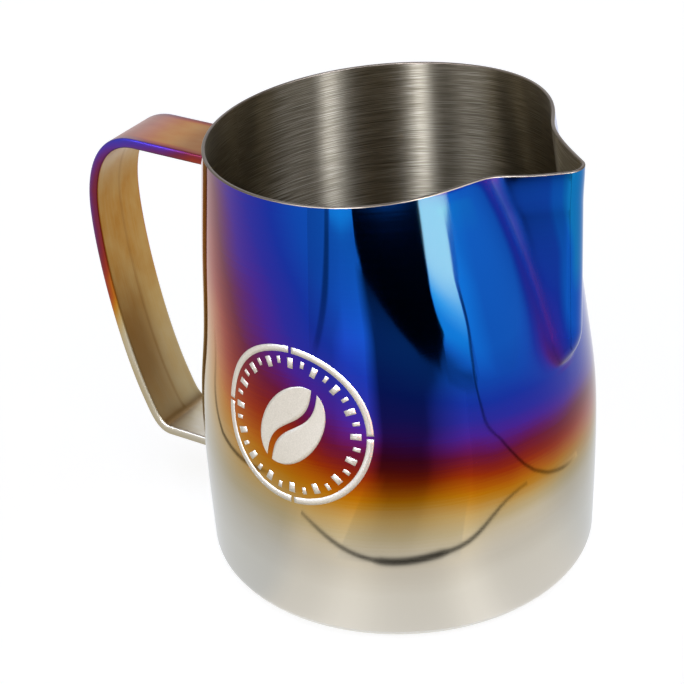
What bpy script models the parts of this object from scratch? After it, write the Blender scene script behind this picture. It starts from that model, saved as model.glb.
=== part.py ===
"""Milk frothing pitcher: a one-piece drawn steel jug with a pressed spout and a welded strip handle.

Frame: origin at the centre of the flat underside, +Z up, +X towards the spout, handle at -X.
Units are metres. The jug is symmetric about the plane y = 0.
"""
import math

import bmesh
import bpy
from mathutils import Vector

MM = 0.001
GAP = 0.3 * MM  # clearance kept between neighbouring solids

# Jug wall, seen as a turned shape before the spout is pressed into it
WALL_THICKNESS = 0.8 * MM
BASE_CORNER = 5.1 * MM  # fillet between the underside and the wall
RIM_HEIGHT = 103.3 * MM  # mean height of the rim
RIM_RISE = 1.9 * MM  # the rim is this much higher at the spout and lower at the handle
WALL_PROFILE = [  # (height, outer radius)
    (5.1 * MM, 44.4 * MM),
    (30.0 * MM, 45.0 * MM),
    (45.0 * MM, 44.5 * MM),
    (55.0 * MM, 43.4 * MM),
    (75.0 * MM, 42.1 * MM),
    (90.0 * MM, 41.0 * MM),
    (106.0 * MM, 39.7 * MM),
]

# Spout: an upright V-shaped ridge with a round nose, which ends in a rounded foot low on the wall
NOSE_X = 46.05 * MM
NOSE_RADIUS = 4.3 * MM
FLANK_ANGLE = math.radians(39.5)  # between a flank and the plane y = 0
FOOT_Z = 57.8 * MM
FOOT_HEIGHT = 8.5 * MM
FOOT_DEPTH = 5.9 * MM
CREASE_BLEND = 2.0 * MM  # size of the hollow fillet between the flanks and the wall
SPOUT_REACH = math.radians(60)  # beyond this angle from the nose the spout no longer shapes the wall
PINCH = 5.2 * MM  # how far the wall beside the spout is drawn in at the rim
PINCH_START = math.radians(5)
PINCH_END = math.radians(92)
LIP_FLARE = 0.45 * MM  # the nose turns out by this much at the rim
LIP_HEIGHT = 3.5 * MM
LIP_DIP = 1.1 * MM  # the lip sinks by this much between the creases
LIP_DIP_START = math.radians(28)
LIP_DIP_END = math.radians(6)

# Handle: a bent flat strip, given by its centre line in the plane y = 0
STRIP_WIDTH = 16.5 * MM
STRIP_THICKNESS = 2.4 * MM
STRIP_EDGE = 0.6 * MM
UPPER_LEG_Z = 89.95 * MM
UPPER_LEG_END_X = -64.3 * MM
GRIP_X = -78.3 * MM  # outermost point of the centre line
GRIP_Z = 70.3 * MM
LOWER_BEND_X = -68.2 * MM
LOWER_BEND_Z = 20.7 * MM
LOWER_BEND_LEAN = math.radians(23.5)  # slope of the grip there, from upright
LOWER_LEG_END_X = -62.0 * MM
LOWER_LEG_Z = 13.3 * MM
LEG_OVERRUN = 1.5 * MM  # the legs run this far past the wall before they are cut to fit it
CUTTER_REACH = 6.0 * MM

# Lengths of the Bezier handles that shape the strip's centre line, in its order
UPPER_BEND_PULL = 9.7 * MM
GRIP_PULL_UP = 10.5 * MM
GRIP_PULL_DOWN = 13.6 * MM
LOWER_BEND_PULL_UP = 14.0 * MM
LOWER_BEND_PULL_DOWN = 3.9 * MM
LOWER_LEG_PULL = 3.3 * MM

BEAD_RADIUS = 1.0 * MM

# Mesh density
SPOUT_STEP = 2.5  # degrees between two columns of the jug: at the spout, beside it and at the back
SIDE_STEP = 5.0
BACK_STEP = 7.5
CORNER_ROWS = 4
WALL_ROWS = [12, 21, 30, 38, 45, 51, 55, 58, 60, 62, 64.5, 67, 72, 78, 84, 90, 95, 99, 101.5]  # heights in mm
STRIP_STEPS = 9
CUTTER_SIDES = 96
WELD_CORNER_STEPS = 4
WELD_SIDE_STEPS = 8
BEAD_STEPS = 2


def clear_scene():
    for obj in list(bpy.data.objects):
        bpy.data.objects.remove(obj, do_unlink=True)


def make_collection(name):
    collection = bpy.data.collections.new(name)
    bpy.context.scene.collection.children.link(collection)
    return collection


def make_material(name, color, roughness, metallic=1.0):
    material = bpy.data.materials.new(name)
    material.use_nodes = True
    shader = material.node_tree.nodes["Principled BSDF"]
    shader.inputs["Base Color"].default_value = (*color, 1.0)
    shader.inputs["Roughness"].default_value = roughness
    shader.inputs["Metallic"].default_value = metallic
    material.diffuse_color = (*color, 1.0)
    return material


def smoothstep(value):
    t = min(max(value, 0.0), 1.0)
    return t * t * (3.0 - 2.0 * t)


def smooth_max(a, b, blend):
    overlap = max(blend - abs(a - b), 0.0) / blend
    return max(a, b) + overlap * overlap * blend / 4.0


def wall_radius(z):
    """Outer radius of the turned wall at height z, on a smooth curve through WALL_PROFILE."""
    points = WALL_PROFILE
    z = min(max(z, points[0][0]), points[-1][0])
    index = next(i for i in range(len(points) - 1) if z <= points[i + 1][0])
    slopes = [(r1 - r0) / (z1 - z0) for (z0, r0), (z1, r1) in zip(points, points[1:])]
    knots = [slopes[0]] + [(a + b) / 2 for a, b in zip(slopes, slopes[1:])] + [slopes[-1]]
    (z0, r0), (z1, r1) = points[index], points[index + 1]
    span = z1 - z0
    t = (z - z0) / span
    start = (2 * t**3 - 3 * t**2 + 1) * r0 + (t**3 - 2 * t**2 + t) * span * knots[index]
    end = (3 * t**2 - 2 * t**3) * r1 + (t**3 - t**2) * span * knots[index + 1]
    return start + end


def rim_height(angle):
    dip = LIP_DIP * smoothstep((LIP_DIP_START - angle) / (LIP_DIP_START - LIP_DIP_END))
    return RIM_HEIGHT + RIM_RISE * math.cos(angle) - dip


def nose_x(z):
    """Distance of the spout's nose from the axis: upright, with a rounded foot and a flared lip."""
    below = min(max((FOOT_Z + FOOT_HEIGHT - z) / FOOT_HEIGHT, 0.0), 1.0)
    foot = FOOT_DEPTH * (1.0 - math.sqrt(1.0 - below * below))
    lip = LIP_FLARE * smoothstep(1.0 - (rim_height(0.0) - z) / LIP_HEIGHT)
    return NOSE_X - foot + lip


def spout_radius(angle, z):
    """Distance from the axis to the V-shaped ridge, in the direction of the angle."""
    centre = nose_x(z) - NOSE_RADIUS
    touch_x = centre + NOSE_RADIUS * math.sin(FLANK_ANGLE)
    touch_y = NOSE_RADIUS * math.cos(FLANK_ANGLE)
    if angle < math.atan2(touch_y, touch_x):
        return centre * math.cos(angle) + math.sqrt(NOSE_RADIUS**2 - (centre * math.sin(angle)) ** 2)
    apex = centre + NOSE_RADIUS / math.sin(FLANK_ANGLE)
    return apex / (math.cos(angle) + math.sin(angle) / math.tan(FLANK_ANGLE))


def outer_radius(angle, z):
    """Outer radius of the finished jug. The angle runs from 0 at the spout to pi at the handle."""
    rise = min(max((z - FOOT_Z) / (rim_height(0.0) - FOOT_Z), 0.0), 1.0)
    pinch = PINCH * rise * (1.0 - smoothstep((angle - PINCH_START) / (PINCH_END - PINCH_START)))
    side = wall_radius(z) - pinch
    if angle > SPOUT_REACH:
        return side
    return smooth_max(side, spout_radius(angle, z), CREASE_BLEND)


def column_angles():
    angles = []
    for start, stop, step in ((0, 35, SPOUT_STEP), (35, 90, SIDE_STEP), (90, 180, BACK_STEP)):
        angles += [start + i * step for i in range(round((stop - start) / step))]
    return [math.radians(angle) for angle in angles + [180]]


def jug_column(angle):
    """Points up one side of the jug, from the edge of the flat underside to the rim."""
    points = []
    direction = Vector((math.cos(angle), math.sin(angle), 0.0))
    corner_centre = WALL_PROFILE[0][1] - BASE_CORNER
    for row in range(CORNER_ROWS + 1):
        turn = math.pi / 2 * row / CORNER_ROWS
        radius = corner_centre + BASE_CORNER * math.sin(turn)
        points.append(direction * radius + Vector((0, 0, BASE_CORNER * (1 - math.cos(turn)))))
    rim = rim_height(angle)
    for height in WALL_ROWS:
        z = height * MM * rim / RIM_HEIGHT
        points.append(direction * outer_radius(angle, z) + Vector((0, 0, z)))
    points.append(direction * outer_radius(angle, rim) + Vector((0, 0, rim)))
    return points


def make_jug(collection):
    """Half of the outer surface, lofted column by column, then mirrored and given its thickness."""
    mesh = bpy.data.meshes.new("jug_body")
    builder = bmesh.new()
    centre = builder.verts.new((0, 0, 0))
    columns = [[builder.verts.new(point) for point in jug_column(angle)] for angle in column_angles()]
    for column in (columns[0], columns[-1]):
        for vert in column:
            vert.co.y = 0.0
    for near, far in zip(columns, columns[1:]):
        builder.faces.new((centre, far[0], near[0]))
        for row in range(len(near) - 1):
            builder.faces.new((near[row], far[row], far[row + 1], near[row + 1]))
    bmesh.ops.recalc_face_normals(builder, faces=builder.faces)
    builder.to_mesh(mesh)
    builder.free()
    jug = bpy.data.objects.new("jug_body", mesh)
    collection.objects.link(jug)
    mirror = jug.modifiers.new("both_sides", "MIRROR")
    mirror.use_axis = (False, True, False)
    mirror.merge_threshold = 0.00001
    shell = jug.modifiers.new("sheet", "SOLIDIFY")
    shell.thickness = WALL_THICKNESS
    shell.offset = -1.0
    shell.use_even_offset = True
    mesh.shade_smooth()
    mesh.materials.append(make_material("rainbow_steel", (0.10, 0.20, 0.55), 0.12))
    return jug


def strip_ribbon():
    """The strip's centre surface: its Bezier centre line, widened to both sides."""
    lean = Vector((math.sin(LOWER_BEND_LEAN), -math.cos(LOWER_BEND_LEAN)))
    upper_root = Vector((LEG_OVERRUN - wall_radius(UPPER_LEG_Z), UPPER_LEG_Z))
    lower_root = Vector((LEG_OVERRUN - wall_radius(LOWER_LEG_Z), LOWER_LEG_Z))
    upper_end = Vector((UPPER_LEG_END_X, UPPER_LEG_Z))
    grip = Vector((GRIP_X, GRIP_Z))
    bend = Vector((LOWER_BEND_X, LOWER_BEND_Z))
    lower_end = Vector((LOWER_LEG_END_X, LOWER_LEG_Z))
    straight = Vector((0, 0))
    nodes = [  # (point, pull back, pull forward)
        (upper_root, straight, straight),
        (upper_end, straight, Vector((-UPPER_BEND_PULL, 0))),
        (grip, Vector((0, GRIP_PULL_UP)), Vector((0, -GRIP_PULL_DOWN))),
        (bend, -LOWER_BEND_PULL_UP * lean, LOWER_BEND_PULL_DOWN * lean),
        (lower_end, Vector((-LOWER_LEG_PULL, 0)), straight),
        (lower_root, straight, straight),
    ]
    curve = bpy.data.curves.new("strip_line", "CURVE")
    curve.dimensions = "2D"
    curve.fill_mode = "NONE"
    curve.extrude = STRIP_WIDTH / 2
    curve.resolution_u = STRIP_STEPS
    spline = curve.splines.new("BEZIER")
    spline.bezier_points.add(len(nodes) - 1)
    for knot, (point, back, forward) in zip(spline.bezier_points, nodes):
        knot.handle_left_type = "VECTOR" if back.length == 0 else "FREE"
        knot.handle_right_type = "VECTOR" if forward.length == 0 else "FREE"
        knot.co = (*point, 0)
        knot.handle_left = (*(point + back), 0)
        knot.handle_right = (*(point + forward), 0)
    guide = bpy.data.objects.new("strip_line", curve)
    guide.rotation_euler = (math.pi / 2, 0, 0)
    bpy.context.scene.collection.objects.link(guide)
    depsgraph = bpy.context.evaluated_depsgraph_get()
    mesh = bpy.data.meshes.new_from_object(guide.evaluated_get(depsgraph))
    mesh.transform(guide.matrix_world)
    bpy.data.objects.remove(guide)
    return mesh


def wall_cutter(name, height, collection):
    """A solid the size of the jug wall around one leg of the handle, with the gap added."""
    low, high = height - CUTTER_REACH, height + CUTTER_REACH
    bpy.ops.mesh.primitive_cone_add(
        vertices=CUTTER_SIDES,
        radius1=wall_radius(low) + GAP,
        radius2=wall_radius(high) + GAP,
        depth=high - low,
        location=(0, 0, height),
    )
    cutter = bpy.context.object
    cutter.name = name
    cutter.hide_render = True
    cutter.display_type = "WIRE"
    for owner in list(cutter.users_collection):
        owner.objects.unlink(cutter)
    collection.objects.link(cutter)
    return cutter


def make_handle(collection, cutters):
    mesh = strip_ribbon()
    mesh.name = "handle"
    handle = bpy.data.objects.new("handle", mesh)
    collection.objects.link(handle)
    strip = handle.modifiers.new("strip", "SOLIDIFY")
    strip.thickness = STRIP_THICKNESS
    strip.offset = 0.0
    strip.use_even_offset = True
    edges = handle.modifiers.new("round_edges", "BEVEL")
    edges.width = STRIP_EDGE
    edges.segments = 2
    edges.limit_method = "ANGLE"
    edges.angle_limit = math.radians(60)
    for name, height in (("upper_fit", UPPER_LEG_Z), ("lower_fit", LOWER_LEG_Z)):
        fit = handle.modifiers.new(name, "BOOLEAN")
        fit.operation = "DIFFERENCE"
        fit.object = wall_cutter(name, height, cutters)
    mesh.shade_smooth()
    mesh.materials.clear()
    mesh.materials.append(make_material("gold_steel", (0.55, 0.40, 0.22), 0.28))
    return handle


def make_weld(name, leg_z, collection):
    """A round bead of weld metal, laid around the end of one leg and along the curved wall."""
    spread = GAP + BEAD_RADIUS
    half_width = STRIP_WIDTH / 2 + spread
    half_height = STRIP_THICKNESS / 2 + spread
    corner = STRIP_EDGE + spread
    outline = []
    for quarter, (side, level) in enumerate(((1, 1), (-1, 1), (-1, -1), (1, -1))):
        for step in range(WELD_CORNER_STEPS + 1):
            turn = math.pi / 2 * (quarter + step / WELD_CORNER_STEPS)
            y = side * (half_width - corner) + corner * math.cos(turn)
            z = level * (half_height - corner) + corner * math.sin(turn)
            outline.append((y, z))
        if level * side > 0:
            y, z = outline[-1]
            outline += [(y * (1 - 2 * i / WELD_SIDE_STEPS), z) for i in range(1, WELD_SIDE_STEPS)]
    curve = bpy.data.curves.new(name, "CURVE")
    curve.dimensions = "3D"
    curve.bevel_depth = BEAD_RADIUS
    curve.bevel_resolution = BEAD_STEPS
    spline = curve.splines.new("POLY")
    spline.points.add(len(outline) - 1)
    spline.use_cyclic_u = True
    for knot, (y, z) in zip(spline.points, outline):
        reach = wall_radius(leg_z + z) + spread
        knot.co = (-math.sqrt(reach * reach - y * y), y, leg_z + z, 1)
    curve.materials.append(make_material(name, (0.62, 0.58, 0.52), 0.35))
    bead = bpy.data.objects.new(name, curve)
    collection.objects.link(bead)
    return bead


def main():
    clear_scene()
    pitcher = make_collection("milk_frothing_pitcher")
    cutters = make_collection("cutters")
    make_jug(pitcher)
    make_handle(pitcher, cutters)
    make_weld("upper_weld", UPPER_LEG_Z, pitcher)
    make_weld("lower_weld", LOWER_LEG_Z, pitcher)


main()
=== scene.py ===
"""Looks of the milk frothing pitcher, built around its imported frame.

Units are metres. The origin is the centre of the flat underside, +Z is up, +X points to the spout and
the handle is at -X. The jug and its handle are symmetric about the plane y = 0.
"""

import math

import bpy
from mathutils import Matrix, Quaternion, Vector


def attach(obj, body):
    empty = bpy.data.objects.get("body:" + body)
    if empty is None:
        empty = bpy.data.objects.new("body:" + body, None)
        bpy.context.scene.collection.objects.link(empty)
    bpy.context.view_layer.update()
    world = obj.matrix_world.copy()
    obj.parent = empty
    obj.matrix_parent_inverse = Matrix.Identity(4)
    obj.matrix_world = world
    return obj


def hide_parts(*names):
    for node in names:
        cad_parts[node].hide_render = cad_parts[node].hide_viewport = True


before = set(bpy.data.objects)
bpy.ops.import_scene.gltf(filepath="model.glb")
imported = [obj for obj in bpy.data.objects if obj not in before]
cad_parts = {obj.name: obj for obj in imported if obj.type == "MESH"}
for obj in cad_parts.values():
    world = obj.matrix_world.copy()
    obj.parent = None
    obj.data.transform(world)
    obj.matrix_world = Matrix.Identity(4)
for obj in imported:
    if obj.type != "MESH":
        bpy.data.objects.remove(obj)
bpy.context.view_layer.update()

MM = 0.001

# Jug wall, seen as a turned shape before the spout is pressed into it
WALL_THICKNESS = 0.8 * MM
BASE_CORNER = 5.1 * MM
GRAIN_RADIUS = 45.0 * MM
RIM_HEIGHT = 103.3 * MM
RIM_RISE = 1.9 * MM
WALL_PROFILE = [  # (height, outer radius)
    (5.1 * MM, 44.4 * MM),
    (30.0 * MM, 45.0 * MM),
    (45.0 * MM, 44.5 * MM),
    (55.0 * MM, 43.4 * MM),
    (75.0 * MM, 42.1 * MM),
    (90.0 * MM, 41.0 * MM),
    (106.0 * MM, 39.7 * MM),
]

# Spout: an upright V-shaped ridge with a round nose, which ends in a rounded foot low on the wall
NOSE_X = 46.05 * MM
NOSE_RADIUS = 4.3 * MM
FLANK_ANGLE = math.radians(39.5)
FOOT_Z = 57.8 * MM
FOOT_HEIGHT = 8.5 * MM
FOOT_DEPTH = 5.9 * MM
CREASE_BLEND = 4.5 * MM
PINCH = 5.2 * MM
PINCH_START = math.radians(5)
PINCH_END = math.radians(92)
PINCH_ONSET = 9.0 * MM  # half of the height over which the pinch sets in
SPOUT_REACH = math.radians(60)
LIP_FLARE = 0.35 * MM
LIP_HEIGHT = 9.0 * MM
LIP_DIP = 1.1 * MM
LIP_DIP_START = math.radians(28)
LIP_DIP_END = math.radians(6)
LIP_ROUND = 0.28 * MM  # height of the rounding along the rim's edge

# Handle: a bent flat strip, given by its centre line in the plane y = 0
STRIP_WIDTH = 16.5 * MM
STRIP_THICKNESS = 2.4 * MM
STRIP_EDGE = 0.7 * MM
UPPER_LEG_Z = 89.95 * MM
UPPER_LEG_END_X = -64.3 * MM
GRIP_X = -78.3 * MM
GRIP_Z = 70.3 * MM
LOWER_BEND_X = -68.2 * MM
LOWER_BEND_Z = 20.7 * MM
LOWER_BEND_LEAN = math.radians(23.5)
LOWER_LEG_END_X = -62.0 * MM
LOWER_LEG_Z = 13.3 * MM

# How far the control points of the centre line's curves lie from their ends
UPPER_BEND_PULL = 9.7 * MM
GRIP_PULL_UP = 10.5 * MM
GRIP_PULL_DOWN = 13.6 * MM
LOWER_BEND_PULL_UP = 14.0 * MM
LOWER_BEND_PULL_DOWN = 3.9 * MM
LOWER_LEG_PULL = 3.3 * MM

ROOT_GAP = 0.05 * MM  # between the strip's ends and the wall

# Weld beads
BEAD_RADIUS = 1.0 * MM
BEAD_CLEARANCE = 0.35 * MM  # from the strip to the bead's centre line
BEAD_LIFT = 0.25 * MM  # from the wall to the bead's centre line
BEAD_SIDES = 12
BEAD_CORNER_STEPS = 8
BEAD_SIDE_STEPS = 48

# Mesh density of the jug and of the handle's faces
FINE_HALF = 35  # degrees on each side of the spout that are divided finely
SPOUT_STEP = 0.5  # degrees
SIDE_STEP = 1.0
CORNER_STEPS = 12
WALL_STEPS = 150
LIP_STEPS = 8
DISC_RINGS = 6
FACE_STEPS = 40
EDGE_STEPS = 8

# Zones of the jug's sheet, which are also the numbers of its materials
OUTSIDE, LIP, INSIDE = 0, 1, 2

# Heat-tint colours of the coating, as (tint, red, green, blue) in 8-bit sRGB. A tint grows with the thickness
# of the coating. On the front of the wall it is the height in mm at which the colour shows, plus the offset.
TINT_COLORS = [
    (0, 209, 206, 199),
    (14, 207, 203, 193),
    (20, 199, 193, 180),
    (25, 190, 180, 158),
    (29, 180, 163, 125),
    (33, 181, 149, 89),
    (36, 176, 123, 36),
    (37.5, 174, 108, 4),
    (39, 168, 88, 0),
    (42, 145, 44, 2),
    (44, 125, 27, 22),
    (46.5, 102, 17, 52),
    (48.5, 90, 20, 96),
    (51, 68, 32, 139),
    (54, 41, 41, 150),
    (58, 20, 47, 154),
    (63, 12, 68, 168),
    (70, 11, 82, 180),
    (95, 11, 86, 182),
    (108, 10, 106, 184),
    (120, 14, 126, 178),
]
TINT_TOP = 120.0
TINT_OFFSET = 0.8


# ---------------------------------------------------------------- small helpers

def linear(*levels):
    """Linear colour of 8-bit sRGB levels."""
    shares = [level / 255 for level in levels]
    return tuple(s / 12.92 if s <= 0.04045 else ((s + 0.055) / 1.055) ** 2.4 for s in shares)


def mix(a, b, share):
    return a + (b - a) * share


def clamp(value):
    return min(max(value, 0.0), 1.0)


def smoothstep(value):
    t = clamp(value)
    return t * t * (3.0 - 2.0 * t)


def smootherstep(value):
    t = clamp(value)
    return t * t * t * (t * (6.0 * t - 15.0) + 10.0)


def smooth_max(a, b, blend):
    overlap = max(blend - abs(a - b), 0.0) / blend
    return max(a, b) + overlap**3 * blend / 6.0


def bell(value):
    return math.exp(-value * value)


def natural_spline(points):
    """A curve through the points that is smooth up to its second derivative."""
    xs, ys = [x for x, _ in points], [y for _, y in points]
    steps = [b - a for a, b in zip(xs, xs[1:])]
    last = len(points) - 1
    upper, bend = [0.0] * (last + 1), [0.0] * (last + 1)
    for i in range(1, last):
        turn = 6.0 * ((ys[i + 1] - ys[i]) / steps[i] - (ys[i] - ys[i - 1]) / steps[i - 1])
        pivot = 2.0 * (steps[i - 1] + steps[i]) - steps[i - 1] * upper[i - 1]
        upper[i] = steps[i] / pivot
        bend[i] = (turn - steps[i - 1] * bend[i - 1]) / pivot
    for i in range(last - 1, 0, -1):
        bend[i] -= upper[i] * bend[i + 1]

    def value(x):
        x = min(max(x, xs[0]), xs[-1])
        i = next(k for k in range(last) if x <= xs[k + 1])
        b = (x - xs[i]) / steps[i]
        a = 1.0 - b
        sag = ((a**3 - a) * bend[i] + (b**3 - b) * bend[i + 1]) * steps[i] ** 2 / 6
        return a * ys[i] + b * ys[i + 1] + sag

    return value


# ---------------------------------------------------------------- shape of the jug

wall_radius = natural_spline(WALL_PROFILE)


def rim_height(angle):
    dip = LIP_DIP * smootherstep((LIP_DIP_START - abs(angle)) / (LIP_DIP_START - LIP_DIP_END))
    return RIM_HEIGHT + RIM_RISE * math.cos(angle) - dip


def nose_x(z):
    below = clamp((FOOT_Z + FOOT_HEIGHT - z) / FOOT_HEIGHT)
    foot = FOOT_DEPTH * (1.0 - math.sqrt(1.0 - below * below))
    lip = LIP_FLARE * smoothstep(1.0 - (rim_height(0.0) - z) / LIP_HEIGHT)
    return NOSE_X - foot + lip


def ridge_radius(angle, z):
    """Distance from the axis to the V-shaped ridge of the spout."""
    angle = abs(angle)
    centre = nose_x(z) - NOSE_RADIUS
    touch_x = centre + NOSE_RADIUS * math.sin(FLANK_ANGLE)
    touch_y = NOSE_RADIUS * math.cos(FLANK_ANGLE)
    if angle < math.atan2(touch_y, touch_x):
        return centre * math.cos(angle) + math.sqrt(NOSE_RADIUS**2 - (centre * math.sin(angle)) ** 2)
    apex = centre + NOSE_RADIUS / math.sin(FLANK_ANGLE)
    return apex / (math.cos(angle) + math.sin(angle) / math.tan(FLANK_ANGLE))


def side_radius(angle, z):
    """Distance from the axis to the wall, drawn in beside the spout."""
    above = z - FOOT_Z
    if abs(above) < PINCH_ONSET:
        above = (above + PINCH_ONSET) ** 2 / (4 * PINCH_ONSET)
    rise = max(above, 0.0) / (rim_height(0.0) - FOOT_Z)
    beside = 1.0 - smootherstep((abs(angle) - PINCH_START) / (PINCH_END - PINCH_START))
    return wall_radius(z) - PINCH * rise * beside


def outer_radius(angle, z):
    side = side_radius(angle, z)
    if abs(angle) > SPOUT_REACH:
        return side
    return smooth_max(side, ridge_radius(angle, z), CREASE_BLEND)


def around(angle, radius, z):
    return Vector((math.cos(angle) * radius, math.sin(angle) * radius, z))


def sheet_stretch(angle, z):
    """How much longer the sheet is when crossed along a radius than straight through."""
    step = math.radians(0.3)
    change = outer_radius(angle + step, z) - outer_radius(angle - step, z)
    slope = change / (2 * step * outer_radius(angle, z))
    return math.sqrt(1.0 + slope * slope)


# ---------------------------------------------------------------- colour of the coating, and painted shade and highlights

# Away from the spout the tint stops following the height. It levels off at a limit, given for mid height, and
# grows by only a part of the height above that. Both are given by the angle from the spout, in degrees.
tint_limit = natural_spline([
    (30, 70.0), (45, 61.0), (60, 56.5), (80, 53.0), (95, 49.0), (105, 46.5), (115, 42.3), (125, 37.2),
    (150, 34.0), (180, 33.0),
])
tint_growth = natural_spline([
    (30, 1.1), (45, 0.8), (60, 0.55), (80, 0.33), (100, 0.185), (120, 0.23), (150, 0.2), (180, 0.2),
])
LIMIT_HEIGHT = 60.0

crease_tint = natural_spline([(56, 48), (62, 47), (66, 49), (70, 50.5), (81, 52.5), (91, 53.5), (104, 52)])


def wall_tint(angle, z):
    """Tint of the jug's outside. The coating thins out towards the handle and towards the base."""
    turn = abs(math.degrees(angle))
    height = z / MM + TINT_OFFSET
    limit = tint_limit(turn) + tint_growth(turn) * (height - LIMIT_HEIGHT)
    blend = mix(16.0, 42.0, smoothstep((turn - 60.0) / 35.0))
    tint = -smooth_max(-height, -limit, blend)
    tint -= 2.8 * smoothstep((36.0 - height) / 8.0) * smoothstep((45.0 - turn) / 20.0)
    if z < FOOT_Z - 2 * MM or abs(angle) > SPOUT_REACH:
        return tint
    return spout_tint(tint, angle, z)


def spout_tint(tint, angle, z):
    """Tint on and beside the spout, from the tint that the plain wall would have there."""
    height = z / MM + TINT_OFFSET
    ridge = ridge_radius(angle, z) - side_radius(angle, z)
    # The nose is thickly coated down its middle, and the flanks on both sides of it evenly
    lateral = abs(math.sin(angle)) * outer_radius(angle, z)
    nose_width = mix(1.4, 2.8, smoothstep((height - 85.0) / 15.0)) * MM
    nose = 1.0 - smoothstep((lateral - nose_width) / (3.2 * MM))
    flank_tint = 56.0 + 0.17 * (height - 61.0)
    nose_tint = mix(62.0, 114.0, smoothstep((height - 63.0) / 22.0))
    on_spout = smoothstep(ridge / (1.2 * MM) + 0.4)
    tint = mix(tint, mix(flank_tint, nose_tint, nose), on_spout)
    # The crease is purple, more narrowly so towards the rim
    crease_width = mix(3.0, 1.5, smoothstep((height - 66.0) / 26.0)) * MM
    crease = bell((ridge + 0.7 * MM) / crease_width)
    tint = mix(tint, crease_tint(height), 0.92 * crease)
    # A short purple stretch runs along the rim beside the crease
    turn = abs(math.degrees(angle))
    below_rim = rim_height(angle) - z
    stretch = bell((turn - 37.0) / 13.0) * bell(below_rim / (1.6 * MM))
    return mix(tint, 46.5, 0.85 * stretch)


def crease_wear_and_shade(angle, z):
    """How far the pressing has dulled the coating, up to 1 in the creases beside the spout. Half of it also
    darkens the colour towards deep blue there, as painted shade.
    """
    if z < FOOT_Z or abs(angle) > SPOUT_REACH:
        return 0.0
    ridge = ridge_radius(angle, z) - side_radius(angle, z)
    nose = bell(math.sin(angle) * outer_radius(angle, z) / (2.5 * MM))
    return max(bell(ridge / (2.2 * MM)), 0.3 * nose)


# Tints along the handle's strip, given by the distance in mm from its upper root
outer_tint = natural_spline([
    (0, 35.2), (12, 36.4), (20, 38.2), (25, 41.2), (30, 44), (36, 46.5), (45, 47.5), (55, 46.5), (63, 44),
    (72, 39), (82, 33), (94, 28), (110, 27), (128, 25),
])
edge_tint = natural_spline([
    (0, 43), (4.5, 43.5), (12, 47), (18, 49.5), (26, 52), (33, 50), (40, 48), (49, 47.4), (56, 46.8),
    (63, 45.2), (70, 41.3), (76, 38), (82, 31), (95, 28), (110, 27), (128, 25),
])
inner_tint = natural_spline([
    (0, 34), (30, 32.5), (42, 34.6), (60, 35), (80, 33), (95, 31), (108, 29.5), (114, 27.5), (128, 26),
])
EDGE_BAND = 2.2  # the tint of an edge is this much higher at the outer face and lower at the inner one
OUTER_BEND = 27.0  # middle of the upper bend, in mm along the outer face, where the painted highlight is brightest
INNER_BEND = 31.0  # and where it is palest on the inner face
LOWER_BEND = 110.0

# Parts of the strip's surface
OUTER_FACE, EDGE, INNER_FACE = 0, 1, 2


def strip_tint(part, across, through, along):
    """Tint of the handle."""
    edge = edge_tint(along) + EDGE_BAND * through / (STRIP_THICKNESS / 2)
    if part == EDGE:
        return edge
    if part == INNER_FACE:
        return inner_tint(along)
    beside = smoothstep((abs(across) - STRIP_WIDTH / 2 + 2.6 * MM) / (2.0 * MM))
    return mix(outer_tint(along), edge, 0.5 * beside)


def strip_paleness_and_highlight(part, along):
    """How far the strip's satin surface pales its colour. It is palest in the upper bend, where on the outer
    face the paling is a painted highlight.
    """
    if part == EDGE:
        return 0.03
    if part == OUTER_FACE:
        # painted highlight in the outer face's upper bend
        return mix(0.06, 0.4, bell((along - OUTER_BEND) / 6.0))
    return mix(0.04, 0.6, bell((along - INNER_BEND) / 7.0))


def strip_shade_and_line(part, across, along):
    """How far the faces are darkened by painted shade: the outer one next to the wall at the upper root, the
    inner one towards one edge and in the crease of the lower bend. A faint line also darkens its middle."""
    if part == OUTER_FACE:
        # painted shade on the outer face, strongest next to the wall at the upper root
        return mix(0.8, 0.32, smoothstep((along - 9.0) / 7.0)) * smoothstep((34.0 - along) / 12.0)
    if part == EDGE:
        return 0.0
    # painted shade on the inner face towards its -y edge
    depth = mix(0.9, 0.55, smoothstep((along - 92.0) / 14.0))
    beside = depth * smoothstep((5.5 * MM - across) / (9.0 * MM)) * smoothstep((along - 62.0) / 24.0)
    # a faint line down the inner face's middle
    line = 0.3 * bell((across - 0.5 * MM) / (0.4 * MM)) * smoothstep((along - 26.0) / 10.0)
    upright = 1.0 - smoothstep((along - LOWER_BEND + 3.0) / 6.0)
    # painted shade in the crease of the lower bend
    bend = 0.9 * bell((along - LOWER_BEND) / 2.0)
    return clamp((beside + line) * upright + bend)


# ---------------------------------------------------------------- mesh making

def mesh_object(name, verts, faces, materials, face_slots=None):
    mesh = bpy.data.meshes.new(name)
    mesh.from_pydata(verts, [], faces)
    for material in materials:
        mesh.materials.append(material)
    if face_slots:
        mesh.polygons.foreach_set("material_index", face_slots)
    mesh.shade_smooth()
    mesh.update()
    obj = bpy.data.objects.new(name, mesh)
    bpy.context.scene.collection.objects.link(obj)
    return obj


def put_floats(obj, name, values):
    attribute = obj.data.attributes.new(name, "FLOAT", "POINT")
    attribute.data.foreach_set("value", values)


def put_vectors(obj, name, vectors):
    attribute = obj.data.attributes.new(name, "FLOAT_VECTOR", "POINT")
    attribute.data.foreach_set("vector", [number for vector in vectors for number in vector])


def column_angles():
    """Angles of the jug's columns of vertices, from the spout all the way around."""
    half = [i * SPOUT_STEP for i in range(round(FINE_HALF / SPOUT_STEP))]
    half += [FINE_HALF + i * SIDE_STEP for i in range(round((180 - FINE_HALF) / SIDE_STEP))]
    return [math.radians(a) for a in half + [180.0] + [-a for a in reversed(half[1:])]]


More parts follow.
